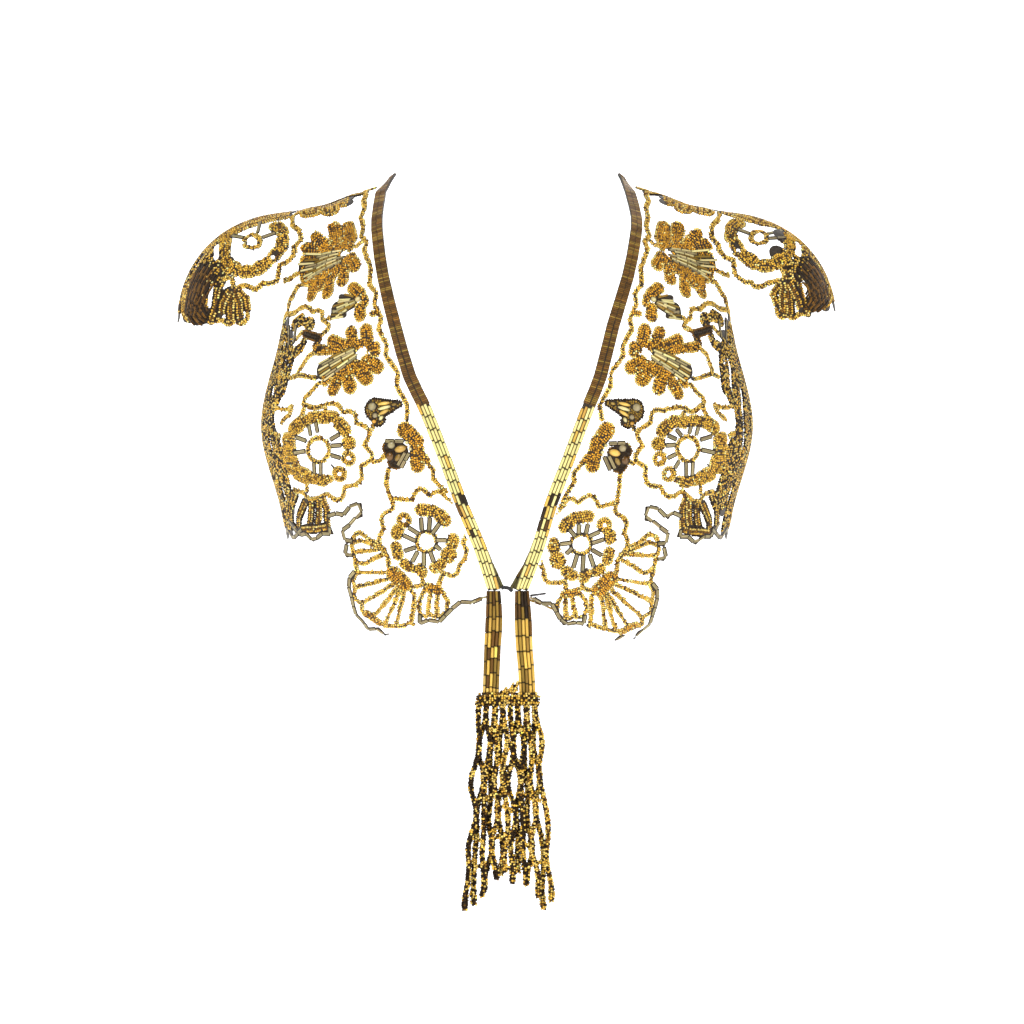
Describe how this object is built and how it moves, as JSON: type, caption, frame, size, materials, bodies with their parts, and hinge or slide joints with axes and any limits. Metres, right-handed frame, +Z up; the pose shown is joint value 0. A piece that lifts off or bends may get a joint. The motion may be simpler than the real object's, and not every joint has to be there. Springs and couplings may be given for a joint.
{
  "type": "beaded lace shawl",
  "caption": "Openwork beaded lace shawl shaped as worn: V neck band over the shoulders, lace front and back, rounded shoulder caps, a cord clasp, and bugle straps ending in netted fringe.",
  "frame": {"origin": "neck rest: midway between the two places where the neck band lies over the wearer's shoulders beside the neck, at the height where the front view's top edge begins", "axes": "+Z up along the wearer, +X to the viewer's right as seen from the front (the wearer's left), the front faces -Y and the back faces +Y"},
  "size_m": [0.4485, 0.2362, 0.5026],
  "materials": {
    "bead_lace": "gold-lined seed beads on dark brown thread, satin",
    "bugle_beads": "opaque pale gold and brown bugle beads, glossy",
    "bead_net": "seed bead strings, satin",
    "black_cord": "matt twisted cord",
    "dark_steel": "dark wire"
  },
  "bodies": {
    "root": {"front_left_lace": "bead_lace", "front_right_lace": "bead_lace", "back_left_lace": "bead_lace", "back_right_lace": "bead_lace", "shoulder_cap_left": "bead_lace", "shoulder_cap_right": "bead_lace", "neck_band_left": "bugle_beads", "neck_band_right": "bugle_beads", "strap_left": "bugle_beads", "strap_right": "bugle_beads", "fringe_left": "bead_net", "fringe_right": "bead_net", "clasp_cord": "black_cord", "clasp_hook": "dark_steel"}
  },
  "joints": []
}
